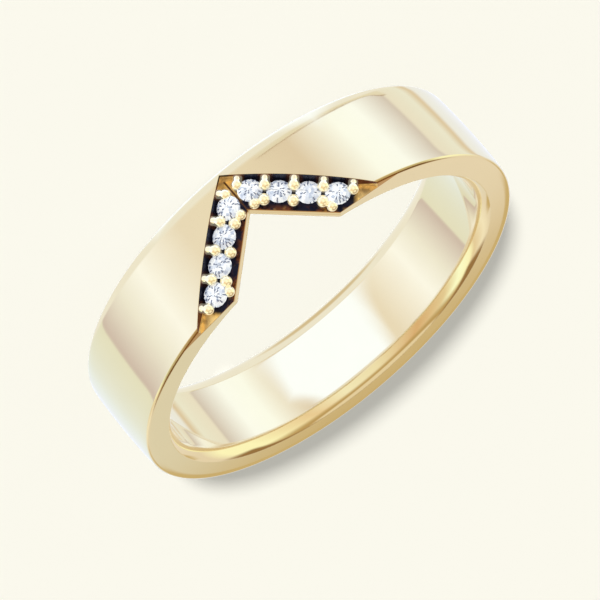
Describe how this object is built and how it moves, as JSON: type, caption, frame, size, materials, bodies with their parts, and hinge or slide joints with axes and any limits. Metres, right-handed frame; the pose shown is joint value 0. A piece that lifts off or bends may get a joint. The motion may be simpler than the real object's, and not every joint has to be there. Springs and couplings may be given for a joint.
{
  "type": "ring",
  "caption": "Wide flat finger ring with a V notch in its front edge and a sunken channel of small round stones that follows the notch.",
  "frame": {"origin": "middle of the bounding box's underside: on the ring's axis, in the plane of its plain rear edge", "axes": "+Z along the finger axis from the rear edge to the notched front edge, -Y towards the middle of the V notch, +X towards the right arm of the V"},
  "size_m": [0.0206, 0.0206, 0.0046],
  "materials": {
    "gold": "polished yellow gold; darkened in the channel's floor",
    "stone": "clear faceted stone"
  },
  "bodies": {
    "root": {"band": "gold", "right_stone_1": "stone", "right_stone_2": "stone", "right_stone_3": "stone", "right_stone_4": "stone", "left_stone_1": "stone", "left_stone_2": "stone", "left_stone_3": "stone", "left_stone_4": "stone"}
  },
  "joints": []
}
